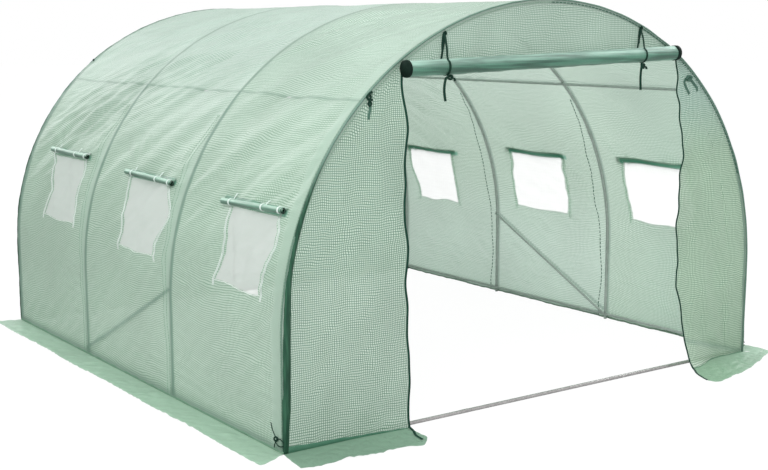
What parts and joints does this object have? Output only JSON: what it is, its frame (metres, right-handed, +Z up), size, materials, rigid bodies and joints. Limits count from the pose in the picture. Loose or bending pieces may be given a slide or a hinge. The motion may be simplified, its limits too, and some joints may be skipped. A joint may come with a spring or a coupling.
{
  "type": "polytunnel greenhouse",
  "caption": "Walk-in polytunnel greenhouse: galvanised steel hoops under a green reinforced mesh cover, with roll-up screened windows and a roll-up front door.",
  "frame": {"origin": "middle of the footprint at ground level, under the ridge", "axes": "+X to the right as seen from the door end, +Y along the tunnel from the door end to the back, +Z up"},
  "size_m": [3.3376, 3.6476, 1.9438],
  "materials": {
    "hoop_front_sides": "dull zinc",
    "hoop_front_crown": "dull zinc",
    "hoop_second_sides": "dull zinc",
    "hoop_second_crown": "dull zinc",
    "hoop_third_sides": "dull zinc",
    "hoop_third_crown": "dull zinc",
    "hoop_back_sides": "dull zinc",
    "hoop_back_crown": "dull zinc",
    "base_rail_left": "dull zinc",
    "base_rail_right": "dull zinc",
    "shoulder_rail_left": "dull zinc",
    "shoulder_rail_right": "dull zinc",
    "ridge_rail": "dull zinc",
    "end_bar_front": "dull zinc",
    "end_bar_back": "dull zinc",
    "brace_left": "dull zinc",
    "brace_right": "dull zinc",
    "cover_left_front": "translucent coated mesh, slightly glossy",
    "cover_left_middle": "translucent coated mesh, slightly glossy",
    "cover_left_back": "translucent coated mesh, slightly glossy",
    "cover_roof_front": "translucent coated mesh, slightly glossy",
    "cover_roof_middle": "translucent coated mesh, slightly glossy",
    "cover_roof_back": "translucent coated mesh, slightly glossy",
    "cover_right_front": "translucent coated mesh, slightly glossy",
    "cover_right_middle": "translucent coated mesh, slightly glossy",
    "cover_right_back": "translucent coated mesh, slightly glossy",
    "front_panel_left": "translucent coated mesh, slightly glossy",
    "front_panel_right": "translucent coated mesh, slightly glossy",
    "front_panel_top": "translucent coated mesh, slightly glossy",
    "back_panel": "translucent coated mesh, slightly glossy",
    "ground_flap_left": "translucent coated sheet",
    "ground_flap_right": "translucent coated sheet",
    "ground_flap_front_left": "translucent coated sheet",
    "ground_flap_front_right": "translucent coated sheet",
    "ground_flap_back": "translucent coated sheet",
    "door_roll": "rolled coated mesh",
    "door_ties": "woven tape",
    "door_zips": "woven tape",
    "window_screens_left": "fine open mesh",
    "window_screens_right": "fine open mesh",
    "window_rolls_left": "rolled coated mesh",
    "window_rolls_right": "rolled coated mesh",
    "window_ties_left": "woven tape",
    "window_ties_right": "woven tape"
  },
  "bodies": {
    "root": {"hoop_front_sides": "hoop_front_sides", "hoop_front_crown": "hoop_front_crown", "hoop_second_sides": "hoop_second_sides", "hoop_second_crown": "hoop_second_crown", "hoop_third_sides": "hoop_third_sides", "hoop_third_crown": "hoop_third_crown", "hoop_back_sides": "hoop_back_sides", "hoop_back_crown": "hoop_back_crown", "base_rail_left": "base_rail_left", "base_rail_right": "base_rail_right", "shoulder_rail_left": "shoulder_rail_left", "shoulder_rail_right": "shoulder_rail_right", "ridge_rail": "ridge_rail", "end_bar_front": "end_bar_front", "end_bar_back": "end_bar_back", "brace_left": "brace_left", "brace_right": "brace_right", "cover_left_front": "cover_left_front", "cover_left_middle": "cover_left_middle", "cover_left_back": "cover_left_back", "cover_roof_front": "cover_roof_front", "cover_roof_middle": "cover_roof_middle", "cover_roof_back": "cover_roof_back", "cover_right_front": "cover_right_front", "cover_right_middle": "cover_right_middle", "cover_right_back": "cover_right_back", "front_panel_left": "front_panel_left", "front_panel_right": "front_panel_right", "front_panel_top": "front_panel_top", "back_panel": "back_panel", "ground_flap_left": "ground_flap_left", "ground_flap_right": "ground_flap_right", "ground_flap_front_left": "ground_flap_front_left", "ground_flap_front_right": "ground_flap_front_right", "ground_flap_back": "ground_flap_back", "door_roll": "door_roll", "door_ties": "door_ties", "door_zips": "door_zips", "window_screens_left": "window_screens_left", "window_screens_right": "window_screens_right", "window_rolls_left": "window_rolls_left", "window_rolls_right": "window_rolls_right", "window_ties_left": "window_ties_left", "window_ties_right": "window_ties_right"}
  },
  "joints": []
}
